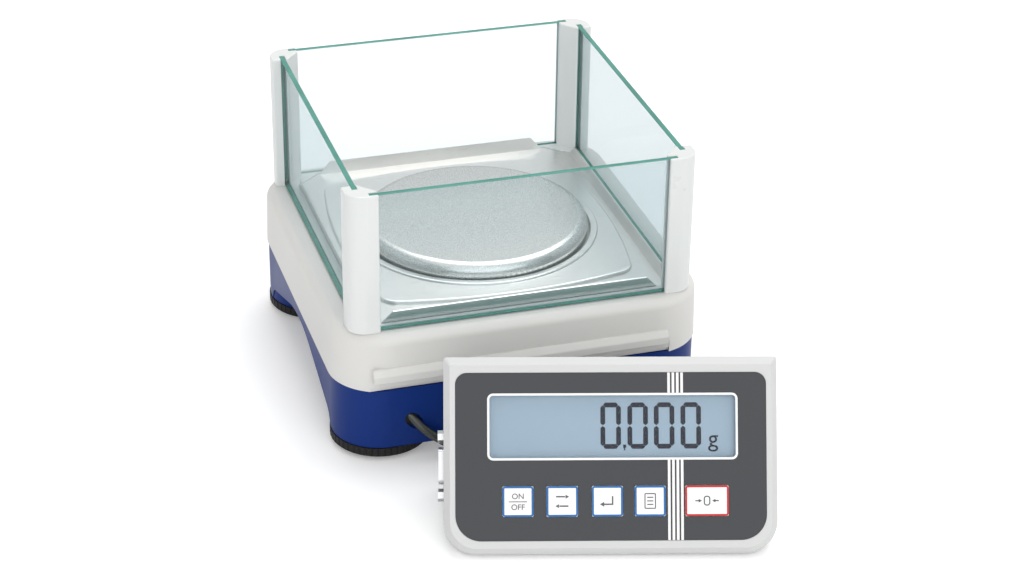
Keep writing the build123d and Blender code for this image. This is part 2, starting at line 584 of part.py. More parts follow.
def serial_standoffs():
    """Two hex standoffs with threaded holes, either side of the connector."""
    pieces = []
    for side in (-1, 1):
        hexagon = RegularPolygon(2.4, 6, major_radius=False) - Circle(JACK_R)
        post = Pos(side * SERIAL_PITCH / 2, 0, -DISPLAY_WALL - 0.1) * extrude(hexagon, DISPLAY_WALL + 2.6)
        pieces.append(serial_place() * post)
    return pieces


def cable_socket():
    """A square socket in the rear wall that the cable's plug fills."""
    y1 = DISPLAY_DEPTH
    body = block(PLUG_X - 7.0, PLUG_X + 7.0, y1 - 12.0, y1 - DISPLAY_WALL - 0.1, PLUG_Z - 6.5, PLUG_Z + 6.5)
    body += block(PLUG_X - 5.1, PLUG_X + 5.1, y1 - DISPLAY_WALL - 0.1, y1 + 0.4, PLUG_Z - 4.6, PLUG_Z + 4.6)
    return body - block(PLUG_X - 3.9, PLUG_X + 3.9, y1 - 9.0, y1 + 2, PLUG_Z - 3.5, PLUG_Z + 3.5)


def cable_plug():
    """A moulded plug with a ribbed, tapering bend relief."""
    y1 = DISPLAY_DEPTH
    body = block(PLUG_X - 3.9, PLUG_X + 3.9, y1 - 9.0, y1 + 0.4, PLUG_Z - 3.5, PLUG_Z + 3.5)
    body += fillet(block(PLUG_X - 5.0, PLUG_X + 5.0, y1 + 0.4, y1 + 7.0, PLUG_Z - 4.5, PLUG_Z + 4.5)
                   .edges().filter_by(Axis.Y), 1.5)
    relief = Pos(PLUG_X, y1 + 7.0, PLUG_Z) * Rot(-90, 0, 0) * Pos(0, 0, (PLUG_LONG - 7.0) / 2)
    body += relief * Cone(3.8, 2.7, PLUG_LONG - 7.0)
    return body - Pos(PLUG_X, y1 + PLUG_LONG, PLUG_Z) * Rot(90, 0, 0) * Cylinder(CORD_R, 20)


def display_feet():
    """Four rubber pads under the display unit."""
    spots = [(-54.0, 8.0), (54.0, 8.0), (-60.0, 46.0), (50.0, 46.0)]
    return [rod(x, y, 4.5, 0, FACE_FOOT) for x, y in spots]


def display_screws():
    """Two screws through the upper rear wall into the front shell's bosses."""
    screws = []
    for x in (-60.0, 60.0):
        head = Pos(x, DISPLAY_DEPTH - 1.0, 58.0) * Rot(90, 0, 0) * Cylinder(1.75, 2.0)
        shank = Pos(x, DISPLAY_DEPTH - 5.0, 58.0) * Rot(90, 0, 0) * Cylinder(1.3, 6.0)
        screws.append(head + shank)
    return screws


# Cable


def run_radii(points):
    """An arc at each corner as large as its two runs allow."""
    radii = []
    for a, b, c in zip(points, points[1:], points[2:]):
        turn = radians((b - a).get_angle(c - b))
        radii.append(0.45 * min((b - a).length, (c - b).length) / tan(turn / 2))
    return radii


def cord_tube(name, points):
    radii = run_radii(points)
    path = FilletPolyline(*points, radius=radii)
    tube = sweep(Plane(origin=path @ 0, z_dir=path % 0) * Circle(CORD_R), path)
    print(name, "length", round(path.length, 1), "radii", [round(r, 1) for r in radii],
          "volume over section by length", round(tube.volume / (pi * CORD_R**2 * path.length), 4))
    return tube


def coil_ring(grow=0.0):
    """The outer shape of the coiled length: a flat ring lying on the surface."""
    x, y = COIL_AT
    half = COIL_WIDE / 2 + grow
    ring = slab(Circle(COIL_R + half) - Circle(COIL_R - half), COIL_LOW, COIL_LOW + COIL_HIGH)
    return UNIT_PLACE * Pos(x, y, 0) * ring


def cable_coil():
    return chamfer(coil_ring().edges(), 1.8)


def cable_lead():
    """From inside the column down to the surface and along it to the coil."""
    start, bend = EXIT_POINT - EXIT_WAY * 9.0, EXIT_POINT + EXIT_WAY * 5.0
    route = [start, bend, Vector(-46.0, -92.6, 13.2), Vector(-38.0, -93.6, 7.3), Vector(-27.0, -93.2, 3.2),
             Vector(-12.0, -91.8, 2.2), Vector(6.0, -90.6, 2.2), Vector(26.0, -90.6, 2.2),
             Vector(COIL_AT[0], COIL_AT[1] + COIL_R + CORD_R, 2.2)]
    placed = [(UNIT_PLACE * Pos(*p)).position for p in route]
    return cord_tube("cable_lead", placed) - cable_coil()


def cable_tail():
    """From the top of the coil round to the plug behind the display unit."""
    top = COIL_LOW + COIL_HIGH - CORD_R
    out = [Vector(COIL_AT[0], COIL_AT[1] + COIL_R + CORD_R, top), Vector(57.5, -91.9, top - 0.2),
           Vector(67.5, -96.2, top - 1.4), Vector(75.6, -103.8, 12.0), Vector(81.2, -114.6, 11.8)]
    placed = [(UNIT_PLACE * Pos(*p)).position for p in out]
    near = DISPLAY_PLACE * Pos(PLUG_X, DISPLAY_DEPTH + PLUG_LONG + 8.0, PLUG_Z)
    end = DISPLAY_PLACE * Pos(PLUG_X, DISPLAY_DEPTH + PLUG_LONG - 10.0, PLUG_Z)
    return cord_tube("cable_tail", placed + [near.position, end.position]) - cable_coil()


# Assembly

UNIT_NODES = {
    "base_housing": base_housing, "top_cover": top_cover, "housing_screws": housing_screws,
    "foot_inserts": foot_inserts, "cable_grommet": cable_grommet, "level_cup": level_cup,
    "level_vial": level_vial, "load_cell": load_cell, "load_cell_spacer": load_cell_spacer,
    "overload_stop": overload_stop, "pan_carrier": pan_carrier, "carrier_buffers": carrier_buffers,
    "main_board": main_board, "weighing_pan": weighing_pan, "shield_tray": shield_tray,
    "shield_frame": shield_frame,
}
DISPLAY_NODES = {
    "display_front": display_front, "display_overlay": display_overlay, "display_window": display_window,
    "lcd_panel": lcd_panel, "display_board": display_board, "key_switches": key_switches,
    "display_rear": display_rear, "battery": battery, "battery_clip": battery_clip,
    "battery_cover": battery_cover, "serial_socket": serial_socket, "serial_standoffs": serial_standoffs,
    "cable_socket": cable_socket, "cable_plug": cable_plug, "display_feet": display_feet,
    "display_screws": display_screws,
}
CORD_NODES = {"cable_lead": cable_lead, "cable_coil": cable_coil, "cable_tail": cable_tail}


def placed(place, shape):
    """A node's solid, or its group of solids, set down in the shared frame."""
    if isinstance(shape, list):
        return Compound(children=[place * piece for piece in shape])
    return place * shape


def assemble():
    nodes = {name: placed(UNIT_PLACE, make()) for name, make in UNIT_NODES.items()}
    for corner, (sx, sy) in SIGNS.items():
        at = UNIT_PLACE * Pos(sx * COLUMN_X, sy * COLUMN_Y, 0)
        nodes[f"foot_wheel_{corner}"] = at * knurled_wheel()
        nodes[f"foot_stud_{corner}"] = at * foot_stud()
        nodes[f"foot_pad_{corner}"] = at * foot_pad()
        nodes[f"shield_post_{corner}"] = UNIT_PLACE * shield_post(sx, sy)
    for place in ("front", "rear", "left", "right"):
        nodes[f"shield_pane_{place}"] = UNIT_PLACE * shield_pane(place)
    nodes.update({name: placed(DISPLAY_PLACE, make()) for name, make in DISPLAY_NODES.items()})
    for name, (u0, u1) in KEYS.items():
        nodes[name] = DISPLAY_PLACE * key_cap(u0, u1)
    nodes.update({name: make() for name, make in CORD_NODES.items()})
    return nodes


os.makedirs("parts", exist_ok=True)
NODES = assemble()
for node_name, shape in NODES.items():
    export_step(shape, f"parts/{node_name}.step")
box = Compound(children=[s for n, s in NODES.items() if n not in CORD_NODES and n != "cable_plug"]).bounding_box()
print("nodes", len(NODES), "box low", box.min, "high", box.max)
print("feet at", [tuple((UNIT_PLACE * Pos(sx * COLUMN_X, sy * COLUMN_Y, 0)).position) for sx, sy in SIGNS.values()])
print("face normal", tuple((DISPLAY_PLACE * face_plane().location).z_axis.direction))
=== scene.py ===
"""A precision balance: a weighing unit with a glass draught shield, and its display unit on a cable."""

import math

import bmesh
import bpy
from mathutils import Matrix, Vector


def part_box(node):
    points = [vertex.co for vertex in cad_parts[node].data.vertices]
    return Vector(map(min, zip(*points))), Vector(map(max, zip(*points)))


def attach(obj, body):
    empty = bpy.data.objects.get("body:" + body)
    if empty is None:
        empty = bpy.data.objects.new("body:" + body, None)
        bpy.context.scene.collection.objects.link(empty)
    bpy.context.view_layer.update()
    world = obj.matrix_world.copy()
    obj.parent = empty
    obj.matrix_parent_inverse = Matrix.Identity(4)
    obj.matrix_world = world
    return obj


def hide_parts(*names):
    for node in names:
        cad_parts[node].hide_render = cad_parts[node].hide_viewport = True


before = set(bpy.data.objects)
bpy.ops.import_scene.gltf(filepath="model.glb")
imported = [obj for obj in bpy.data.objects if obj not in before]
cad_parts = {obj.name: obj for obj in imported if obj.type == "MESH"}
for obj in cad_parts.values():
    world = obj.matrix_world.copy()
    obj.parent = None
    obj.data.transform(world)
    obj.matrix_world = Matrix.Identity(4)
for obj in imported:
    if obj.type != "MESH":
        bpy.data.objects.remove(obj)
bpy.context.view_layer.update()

# Camera
# It stands well back with a long lens, to the left of the balance and above it, and is a trace out of level.
EYE_MM = (-294.7, -961.2, 609.0)
YAW, PITCH, ROLL = math.radians(17.18), math.radians(28.70), math.radians(0.79)
LENS_MM, SENSOR_MM, NEAR_M = 87.55, 36, 0.05
MM = 0.001

ahead = Vector((math.sin(YAW) * math.cos(PITCH), math.cos(YAW) * math.cos(PITCH), -math.sin(PITCH)))
level_right = Vector((math.cos(YAW), -math.sin(YAW), 0))
level_up = level_right.cross(ahead)
right = level_right * math.cos(ROLL) + level_up * math.sin(ROLL)
up = level_up * math.cos(ROLL) - level_right * math.sin(ROLL)
lens = bpy.data.cameras.new("camera")
lens.sensor_width = SENSOR_MM
lens.lens = LENS_MM
lens.clip_start = NEAR_M
camera = bpy.data.objects.new("camera", lens)
aim = Matrix((right, up, -ahead)).transposed().to_4x4()
camera.matrix_world = Matrix.Translation(Vector(EYE_MM) * MM) @ aim
bpy.context.scene.collection.objects.link(camera)
bpy.context.scene.camera = camera
bpy.context.scene.view_settings.view_transform = "Standard"


# Cable
# A round four-core lead, 4 mm thick, in a glossy dark PVC jacket, from the front left column of the base to
# the back of the display unit. Its spare length is wound into a tied coil behind the display unit.
CORD_MM = 4.0
EXIT_MM = Vector((-56.085, -37.043, 20.8))
EXIT_WAY = Vector((0.50, -0.68, -0.54)).normalized()
COIL_MIDDLE_MM, COIL_R_MM = Vector((44.315, -63.943)), 20.0
TURNS, POINTS_A_TURN = 7, 14
INSIDE_MM, STRAIGHT_MM = 9.0, 5.0


def clear_selection():
    """Nothing selected, in object mode."""
    for piece in list(bpy.context.selected_objects):
        piece.select_set(False)
    bpy.context.view_layer.objects.active = None


def linear(colour):
    """An sRGB hex value as the linear colour that a socket takes."""
    parts = [int(colour[i:i + 2], 16) / 255 for i in (1, 3, 5)]
    return [p / 12.92 if p <= 0.04045 else ((p + 0.055) / 1.055) ** 2.4 for p in parts] + [1.0]


def add(tree, kind, inputs=None, **settings):
    """Adds a node. An input's value is a socket to link from, or a plain value."""
    made = tree.nodes.new(kind)
    for key, value in settings.items():
        setattr(made, key, value)
    for key, value in (inputs or {}).items():
        if isinstance(value, bpy.types.NodeSocket):
            tree.links.new(value, made.inputs[key])
        else:
            made.inputs[key].default_value = value
    return made


def new_material(name):
    """An empty node material and its tree."""
    made = bpy.data.materials.new(name)
    made.use_nodes = True
    made.node_tree.nodes.clear()
    return made, made.node_tree


CLOUD_MM = 45.0


def moulded(name, colour, roughness, grain_mm=0.6, depth_mm=0.01, mottle=0.03, gloss=0.5):
    """A moulded plastic: fine even grain from the mould, faint cloudiness, and gloss that varies a little."""
    made, tree = new_material(name)
    place = add(tree, "ShaderNodeTexCoord").outputs["Object"]
    grain = add(tree, "ShaderNodeTexNoise", {"Vector": place, "Scale": 1 / (grain_mm * MM), "Detail": 3.0})
    cloud = add(tree, "ShaderNodeTexNoise", {"Vector": place, "Scale": 1 / (CLOUD_MM * MM), "Detail": 4.0})
    shade = [c * (1 - mottle * 2) for c in linear(colour)[:3]] + [1.0]
    tint = add(tree, "ShaderNodeMix", {0: cloud.outputs["Fac"], 6: shade, 7: linear(colour)},
               data_type="RGBA")
    sheen = add(tree, "ShaderNodeMapRange", {"Value": cloud.outputs["Fac"], "From Min": 0.3, "From Max": 0.7,
                                             "To Min": roughness - 0.04, "To Max": roughness + 0.06})
    bump = add(tree, "ShaderNodeBump", {"Height": grain.outputs["Fac"], "Strength": 0.5,
                                        "Distance": depth_mm * MM})
    shader = add(tree, "ShaderNodeBsdfPrincipled",
                 {"Base Color": tint.outputs[2], "Roughness": sheen.outputs["Result"], "IOR": 1.5,
                  "Specular IOR Level": gloss, "Normal": bump.outputs["Normal"]})
    add(tree, "ShaderNodeOutputMaterial", {"Surface": shader.outputs["BSDF"]})
    return made


def cover_nodes(material, *names):
    """Gives CAD nodes this material."""
    for name in names:
        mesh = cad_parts[name].data
        mesh.materials.clear()
        mesh.materials.append(material)


clear_selection()
lead = [EXIT_MM - EXIT_WAY * INSIDE_MM, EXIT_MM + EXIT_WAY * STRAIGHT_MM, Vector((-47.685, -43.343, 13.2)),
        Vector((-39.685, -44.343, 7.3)), Vector((-28.685, -43.943, 3.2)), Vector((-13.685, -42.543, 2.2)),
        Vector((4.315, -41.343, 2.2)), Vector((24.315, -41.343, 2.2))]

# The winding, as turns done, distance outward from the middle of the bundle, and height. It climbs four
# layers, and in each it crosses from one column of turns to the other.
LAYERS = ((0.0, 2.0, 2.2), (0.80, 2.0, 2.2), (0.97, -2.0, 2.2), (1.64, -2.0, 2.2), (1.80, -2.0, 6.2),
          (2.47, -2.0, 6.2), (2.64, 2.0, 6.2), (3.31, 2.0, 6.2), (3.47, 2.0, 10.2), (4.14, 2.0, 10.2),
          (4.31, -2.0, 10.2), (4.98, -2.0, 10.2), (5.14, -2.0, 14.2), (5.81, -2.0, 14.2), (5.98, 2.0, 14.2),
          (7.0, 2.0, 14.2))
turns = []
for step in range(TURNS * POINTS_A_TURN + 1):
    done = step / POINTS_A_TURN
    start, end = next(pair for pair in zip(LAYERS, LAYERS[1:]) if pair[0][0] <= done <= pair[1][0])
    share = (done - start[0]) / (end[0] - start[0])
    reach = COIL_R_MM + start[1] + share * (end[1] - start[1])
    angle = math.pi / 2 - 2 * math.pi * done
    sideways = COIL_MIDDLE_MM + reach * Vector((math.cos(angle), math.sin(angle)))
    turns.append(Vector((*sideways, start[2] + share * (end[2] - start[2]))))
tail = [Vector((55.815, -42.643, 14.0)), Vector((65.815, -46.943, 12.8)), Vector((73.915, -54.543, 12.0)),
        Vector((79.515, -65.343, 11.8)), Vector((84.279, -77.338, 12.0)), Vector((79.560, -94.708, 12.0))]
route = lead + turns + tail
curve = bpy.data.curves.new("cable", "CURVE")
curve.dimensions = "3D"
curve.resolution_u = 8
curve.bevel_depth = CORD_MM / 2 * MM
curve.bevel_resolution = 6
curve.use_fill_caps = True
spline = curve.splines.new("NURBS")
spline.points.add(len(route) - 1)
for point, place in zip(spline.points, route):
    point.co = (*(place * MM), 1)
spline.order_u = 3
spline.use_endpoint_u = True
cable = bpy.data.objects.new("cable", curve)
bpy.context.scene.collection.objects.link(cable)

jacket = moulded("cable_jacket_pvc", "#3A3E38", 0.26, grain_mm=1.2, depth_mm=0.004, mottle=0.05)
curve.materials.append(jacket)
rubber = moulded("rubber_moulded", "#1B1B1C", 0.6, grain_mm=0.4, depth_mm=0.02)
cover_nodes(rubber, "cable_plug", "cable_grommet", "carrier_buffers", "display_feet")
cover_nodes(rubber, "foot_pad_fl", "foot_pad_fr", "foot_pad_bl", "foot_pad_br")
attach(cable, "housing")
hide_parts("cable_lead", "cable_coil", "cable_tail")

# A thin film tie holds the coil together on its right side.
TIE_WIDE_MM, TIE_THICK_MM = 6.0, 0.15
BUNDLE_WIDE_MM, BUNDLE_LOW_MM, BUNDLE_TOP_MM = 8.0, 0.2, 16.2
tie_low = Vector((-BUNDLE_WIDE_MM / 2, -TIE_WIDE_MM / 2, BUNDLE_LOW_MM))
tie_high = Vector((BUNDLE_WIDE_MM / 2, TIE_WIDE_MM / 2, BUNDLE_TOP_MM))
tie_middle = Vector((COIL_MIDDLE_MM.x + COIL_R_MM, COIL_MIDDLE_MM.y, 0)) + (tie_low + tie_high) / 2
clear_selection()
bpy.ops.mesh.primitive_cube_add(size=1, location=tie_middle * MM)
tie = bpy.context.object
tie.name = "cable_tie"
tie.scale = (tie_high - tie_low) * MM
bpy.ops.object.transform_apply(location=True, rotation=True, scale=True)
bpy.ops.object.mode_set(mode="EDIT")
bpy.ops.mesh.select_mode(type="FACE")
bpy.ops.mesh.select_all(action="DESELECT")
shape = bmesh.from_edit_mesh(tie.data)
for face in shape.faces:
    face.select_set(abs(face.normal.y) > 0.9)
bmesh.update_edit_mesh(tie.data)
bpy.ops.mesh.delete(type="ONLY_FACE")
bpy.ops.object.mode_set(mode="OBJECT")
wall = tie.modifiers.new("film", "SOLIDIFY")
wall.thickness = TIE_THICK_MM * MM
wall.offset = 1
bpy.ops.object.modifier_apply(modifier=wall.name)
tie.data.materials.append(rubber)
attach(tie, "housing")


# Weighing unit: base
# One thick-walled moulding in dark blue ABS, with four hollow foot columns and arches between them. The cover
# is screwed to it from below. A polished mould leaves a soft sheen that breaks up only a little.
base_blue = moulded("base_abs_blue", "#0C2F78", 0.34, grain_mm=1.6, depth_mm=0.006, mottle=0.06, gloss=0.15)
cover_nodes(base_blue, "base_housing", "level_cup")


# Weighing unit: cover
# A light grey ABS moulding with a flat top, soft shoulders, and a rail across its front that the display
# unit docks on. Fine spark-eroded grain in the mould makes it matt.
cover_grey = moulded("cover_abs_grey", "#DBDAD7", 0.42, grain_mm=0.7, depth_mm=0.008, mottle=0.02)
cover_nodes(cover_grey, "top_cover")


# Weighing unit: levelling feet
# Black nylon wheels with a fluted rim, pressed on zinc-plated steel studs that run in brass nuts in the
# columns. Glass fibre in the nylon makes it uneven and dull.
foot_black = moulded("wheel_nylon_black", "#201D1D", 0.5, grain_mm=0.5, depth_mm=0.015, mottle=0.12,
                     gloss=0.3)
cover_nodes(foot_black, "foot_wheel_fl", "foot_wheel_fr", "foot_wheel_bl", "foot_wheel_br")


def metal(name, colour, roughness, stretch=(1, 1, 1), line_mm=0.5, depth_mm=0.002, streak=0.08):
    """A metal whose finishing lines run along the axis with the small stretch."""
    made, tree = new_material(name)
    place = add(tree, "ShaderNodeTexCoord").outputs["Object"]
    along = add(tree, "ShaderNodeMapping", {"Vector": place, "Scale": stretch})
    lines = add(tree, "ShaderNodeTexNoise", {"Vector": along.outputs["Vector"], "Scale": 1 / (line_mm * MM),
                                             "Detail": 4.0, "Roughness": 0.6})
    sheen = add(tree, "ShaderNodeMapRange", {"Value": lines.outputs["Fac"], "From Min": 0.3, "From Max": 0.7,
                                             "To Min": roughness - streak / 2, "To Max": roughness + streak})
    bump = add(tree, "ShaderNodeBump", {"Height": lines.outputs["Fac"], "Strength": 0.6,
                                        "Distance": depth_mm * MM})
    shader = add(tree, "ShaderNodeBsdfPrincipled",
                 {"Base Color": linear(colour), "Metallic": 1.0, "Roughness": sheen.outputs["Result"],
                  "Normal": bump.outputs["Normal"]})
    add(tree, "ShaderNodeOutputMaterial", {"Surface": shader.outputs["BSDF"]})
    return made


plated = metal("steel_zinc_plated", "#C9CACC", 0.3)
cover_nodes(plated, "foot_stud_fl", "foot_stud_fr", "foot_stud_bl", "foot_stud_br", "housing_screws",
            "overload_stop", "serial_standoffs", "display_screws", "serial_socket")


# Weighing unit: inside
# The load cell and the pan's carrier are milled from aluminium bar and keep the mill's lines along X. The
# nuts are turned brass, and the board is glass laminate under a green lacquer.
milled = metal("aluminium_milled", "#D3D4D5", 0.35, stretch=(0.05, 1, 1), line_mm=0.6)
turned = metal("brass_turned", "#C9A24B", 0.3)
laminate = moulded("board_laminate_green", "#145A32", 0.35, grain_mm=0.8, depth_mm=0.01, mottle=0.1)
cover_nodes(milled, "load_cell", "load_cell_spacer", "pan_carrier")
cover_nodes(turned, "foot_inserts")
cover_nodes(laminate, "main_board", "display_board")


# Weighing unit: level
# A round vial of clear acrylic, pressed into a cup at the back of the base. The pale green spirit in it gives
# the whole vial its colour.
vial = moulded("vial_acrylic", "#D8E6C0", 0.08, grain_mm=5.0, depth_mm=0.001)
cover_nodes(vial, "level_vial")


# Draught shield: posts and frame
# Four extruded posts in near-white polycarbonate, with slots that the panes slide into, on a flat moulded
# frame. The smooth die leaves them glossier than the cover.
post_white = moulded("post_polycarbonate", "#DFE2E1", 0.3, grain_mm=2.5, depth_mm=0.003, mottle=0.015)
cover_nodes(post_white, "shield_post_fl", "shield_post_fr", "shield_post_bl", "shield_post_br",
            "shield_frame")


# Draught shield: panes
# Float glass, 2.4 mm thick, that stands in the posts' slots. Its faces are almost clear with a trace of blue
# and faint wiping marks, and its ground edges show the iron in it as sea green.
SMEAR_MM, EDGE_TONE_MM, EDGE_EASE_MM = 60.0, 14.0, 0.3
glass, tree = new_material("float_glass")
facing = add(tree, "ShaderNodeLayerWeight", {"Blend": 0.35})
veil = add(tree, "ShaderNodeMapRange", {"Value": facing.outputs["Fresnel"], "From Min": 0.0, "From Max": 1.0,
                                        "To Min": 0.05, "To Max": 0.32})
smear_place = add(tree, "ShaderNodeTexCoord").outputs["Object"]
smear = add(tree, "ShaderNodeTexNoise", {"Vector": smear_place, "Scale": 1 / (SMEAR_MM * MM), "Detail": 5.0})
smear_depth = add(tree, "ShaderNodeMapRange",
                  {"Value": smear.outputs["Fac"], "From Min": 0.35, "From Max": 0.75,
                   "To Min": 0.02, "To Max": 0.08})
pane_face = add(tree, "ShaderNodeBsdfPrincipled",
                {"Base Color": linear("#C9DADC"), "Roughness": smear_depth.outputs["Result"], "IOR": 1.52})
tint = add(tree, "ShaderNodeBsdfTransparent", {"Color": linear("#F6F9FA")})
sheet = add(tree, "ShaderNodeMixShader", {0: veil.outputs["Result"], 1: tint.outputs["BSDF"],
                                          2: pane_face.outputs["BSDF"]})
add(tree, "ShaderNodeOutputMaterial", {"Surface": sheet.outputs["Shader"]})

edge_green, tree = new_material("float_glass_ground_edge")
edge_place = add(tree, "ShaderNodeTexCoord").outputs["Object"]
edge_noise = add(tree, "ShaderNodeTexNoise", {"Vector": edge_place, "Scale": 1 / (EDGE_TONE_MM * MM),
                                              "Detail": 3.0})
edge_tone = add(tree, "ShaderNodeValToRGB", {"Fac": edge_noise.outputs["Fac"]})
edge_tone.color_ramp.elements[0].color = linear("#1F7467")
edge_tone.color_ramp.elements[1].color = linear("#4C9F90")
ground = add(tree, "ShaderNodeBsdfPrincipled", {"Base Color": edge_tone.outputs["Color"], "Roughness": 0.22,
                                                "IOR": 1.52})
add(tree, "ShaderNodeOutputMaterial", {"Surface": ground.outputs["BSDF"]})

for side in ("front", "rear", "left", "right"):
    low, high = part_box(f"shield_pane_{side}")
    clear_selection()
    bpy.ops.mesh.primitive_cube_add(size=1, location=(low + high) / 2)
    pane = bpy.context.object
    pane.name = f"pane_{side}"
    pane.scale = high - low
    bpy.ops.object.transform_apply(location=True, rotation=True, scale=True)
    ease = pane.modifiers.new("ground_edge", "BEVEL")
    ease.width = EDGE_EASE_MM * MM
    ease.segments = 2
    bpy.ops.object.modifier_apply(modifier=ease.name)
    pane.data.materials.append(glass)
    pane.data.materials.append(edge_green)
    thin = 0 if side in ("left", "right") else 1
    for face in pane.data.polygons:
        face.material_index = 0 if abs(face.normal[thin]) > 0.99 else 1
    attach(pane, "shield")
    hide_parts(f"shield_pane_{side}")


# Tray and pan
# Both are pressed from satin stainless sheet. The tray keeps the sheet's rolling lines, which run across it,
# and the pan is brushed evenly all round. Both lift off by hand.
tray_steel = metal("stainless_rolled", "#DDDDDB", 0.3, stretch=(0.04, 1, 1), line_mm=0.5, streak=0.06)
pan_steel = metal("stainless_spun", "#D4D4D2", 0.26, line_mm=0.5, depth_mm=0.0003, streak=0.03)
cover_nodes(tray_steel, "shield_tray")
cover_nodes(pan_steel, "weighing_pan")


# Display unit: housing
# Two light grey ABS shells, screwed together from behind, that meet just behind the sloping face. The front
# shell has a bevelled rim, and both have the cover's fine grain.
TURN, TILT = math.radians(-15.2), math.radians(31.0)
FACE_FOOT_MM = 1.5
DISPLAY_AT_MM = Vector((5.665, -137.843, 0))
place_display = Matrix.Translation(DISPLAY_AT_MM * MM) @ Matrix.Rotation(TURN, 4, "Z")
along_face = (1, 0, 0)
up_face = (0, math.sin(TILT), math.cos(TILT))
out_of_face = (0, -math.cos(TILT), math.sin(TILT))
face_axes = Matrix((along_face, up_face, out_of_face)).transposed().to_4x4()
on_face = place_display @ Matrix.Translation((0, 0, FACE_FOOT_MM * MM)) @ face_axes

shell_grey = moulded("display_abs_grey", "#D0D1D0", 0.45, grain_mm=0.7, depth_mm=0.01, mottle=0.015)
cover_nodes(shell_grey, "display_front", "display_rear", "battery_cover")
black = moulded("plastic_black", "#141415", 0.4)
cover_nodes(black, "key_switches", "battery_clip", "cable_socket")
cover_nodes(moulded("battery_sleeve", "#33363B", 0.3), "battery")


# Display unit: panel
# A polyester sheet printed from behind in dark grey, with a clear window, a white line round it, and a group
# of even upright stripes between the small keys and the large one. Its fine texture makes it satin.
PANEL_W = 3.1
INK_MM = 0.05

panel_grey = moulded("panel_polyester_print", "#45474A", 0.38, grain_mm=0.35, depth_mm=0.006, mottle=0.02,
                     gloss=0.2)
cover_nodes(panel_grey, "display_overlay")
white_ink = moulded("ink_white", "#F4F4F4", 0.4, grain_mm=0.4, depth_mm=0.002, mottle=0.01)
window, tree = new_material("window_polyester_clear")
clear = add(tree, "ShaderNodeBsdfPrincipled", {"Base Color": linear("#59636B"), "Roughness": 0.08, "IOR": 1.5,
                                               "Alpha": 0.03})
add(tree, "ShaderNodeOutputMaterial", {"Surface": clear.outputs["BSDF"]})
cover_nodes(window, "display_window")


def lay_on_face(piece, height_mm, body, material):
    """Sets a flat piece, drawn in millimetres, on the display's face, and lets it ride on a body."""
    piece.data.materials.clear()
    piece.data.materials.append(material)
    at_height = Matrix.Translation((0, 0, height_mm * MM)) @ Matrix.Diagonal((MM, MM, MM, 1))
    piece.matrix_world = on_face @ at_height
    clear_selection()
    piece.select_set(True)
    bpy.context.view_layer.objects.active = piece
    bpy.ops.object.transform_apply(location=True, rotation=True, scale=True)
    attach(piece, body)


def bar(u0, u1, v0, v1, thick):
    """A flat bar in face millimetres."""
    clear_selection()
    bpy.ops.mesh.primitive_cube_add(size=1, location=((u0 + u1) / 2, (v0 + v1) / 2, thick / 2))
    made = bpy.context.object
    made.scale = (u1 - u0, v1 - v0, thick)
    bpy.ops.object.transform_apply(location=True, rotation=True, scale=True)
    return made


def ring(u0, u1, v0, v1, line, radius, thick):
    """A printed line round a rectangle with round corners, lying outside it."""
    clear_selection()
    bpy.ops.mesh.primitive_plane_add(size=1, location=((u0 + u1) / 2, (v0 + v1) / 2, 0))
    made = bpy.context.object
    made.scale = (u1 - u0 + 2 * line, v1 - v0 + 2 * line, 1)
    bpy.ops.object.transform_apply(location=True, rotation=True, scale=True)
    bpy.ops.object.mode_set(mode="EDIT")
    bpy.ops.mesh.select_all(action="SELECT")
    bpy.ops.mesh.bevel(affect="VERTICES", offset=radius + line, segments=6)
    bpy.ops.mesh.select_all(action="SELECT")
    bpy.ops.mesh.inset(thickness=line)
    bpy.ops.mesh.delete(type="FACE")
    bpy.ops.object.mode_set(mode="OBJECT")
    body = made.modifiers.new("ink", "SOLIDIFY")
    body.thickness = thick
    body.offset = 1
    bpy.ops.object.modifier_apply(modifier=body.name)
    return made


def join(name, pieces):
    """Several pieces as one."""
    clear_selection()
    for piece in pieces:
        piece.select_set(True)
    bpy.context.view_layer.objects.active = pieces[0]
    if len(pieces) > 1:
        bpy.ops.object.join()
    made = bpy.context.object
    made.name = name
    return made


WINDOW, WINDOW_LINE, WINDOW_ROUND = (-51.7, 53.1, 40.9, 67.4), 0.95, 1.6
window_line = join("window_line", [ring(*WINDOW, WINDOW_LINE, WINDOW_ROUND, INK_MM)])
lay_on_face(window_line, PANEL_W, "housing", white_ink)

STRIPE_FIRST, STRIPE_PITCH, STRIPE_WIDE, STRIPES = 24.1, 1.85, 1.1, 4
BELOW_WINDOW, ABOVE_WINDOW = (5.9, 39.9), (68.4, 77.0)
stripes = []
for n in range(STRIPES):
    left = STRIPE_FIRST + n * STRIPE_PITCH
    for span in (BELOW_WINDOW, ABOVE_WINDOW):
        stripes.append(bar(left, left + STRIPE_WIDE, *span, INK_MM))
lay_on_face(join("panel_stripes", stripes), PANEL_W, "housing", white_ink)


